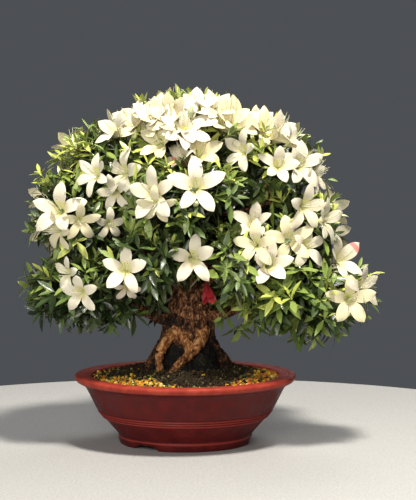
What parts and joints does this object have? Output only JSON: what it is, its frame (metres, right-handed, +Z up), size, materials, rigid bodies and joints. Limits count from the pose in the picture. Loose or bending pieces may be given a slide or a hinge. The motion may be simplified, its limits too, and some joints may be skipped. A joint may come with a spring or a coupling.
{
  "type": "potted flowering bonsai tree",
  "caption": "Azalea bonsai in white flower, with a stout flared trunk and a broad domed crown, in a shallow round red clay pot with a flat rim and a low foot.",
  "frame": {"origin": "under the middle of the whole plant's outline, on the surface that the pot's foot stands on", "axes": "+Z up, front of the bonsai towards -Y, +X to the viewer's right"},
  "size_m": [0.5408, 0.3862, 0.5088],
  "materials": {
    "red_clay": "satin",
    "granular_soil": "matte",
    "bark": "matte",
    "foliage": "satin"
  },
  "bodies": {
    "root": {"pot": "red_clay", "soil": "granular_soil", "trunk": "bark", "bough_upper_left": "bark", "bough_upper_right": "bark", "bough_upper_back": "bark", "bough_front": "bark", "bough_left": "bark", "bough_right": "bark", "bough_back": "bark", "bough_back_left": "bark", "bough_back_right": "bark", "bough_low_left": "bark", "bough_low_right": "bark", "bough_low_back": "bark", "bough_low_front": "bark", "bough_front_right": "bark", "mass_crown_top": "foliage", "mass_upper_left": "foliage", "mass_upper_right": "foliage", "mass_upper_back": "foliage", "mass_front": "foliage", "mass_left": "foliage", "mass_right": "foliage", "mass_back": "foliage", "mass_back_left": "foliage", "mass_back_right": "foliage", "mass_low_left": "foliage", "mass_low_right": "foliage", "mass_low_back": "foliage", "mass_low_front": "foliage", "mass_front_right": "foliage"}
  },
  "joints": []
}
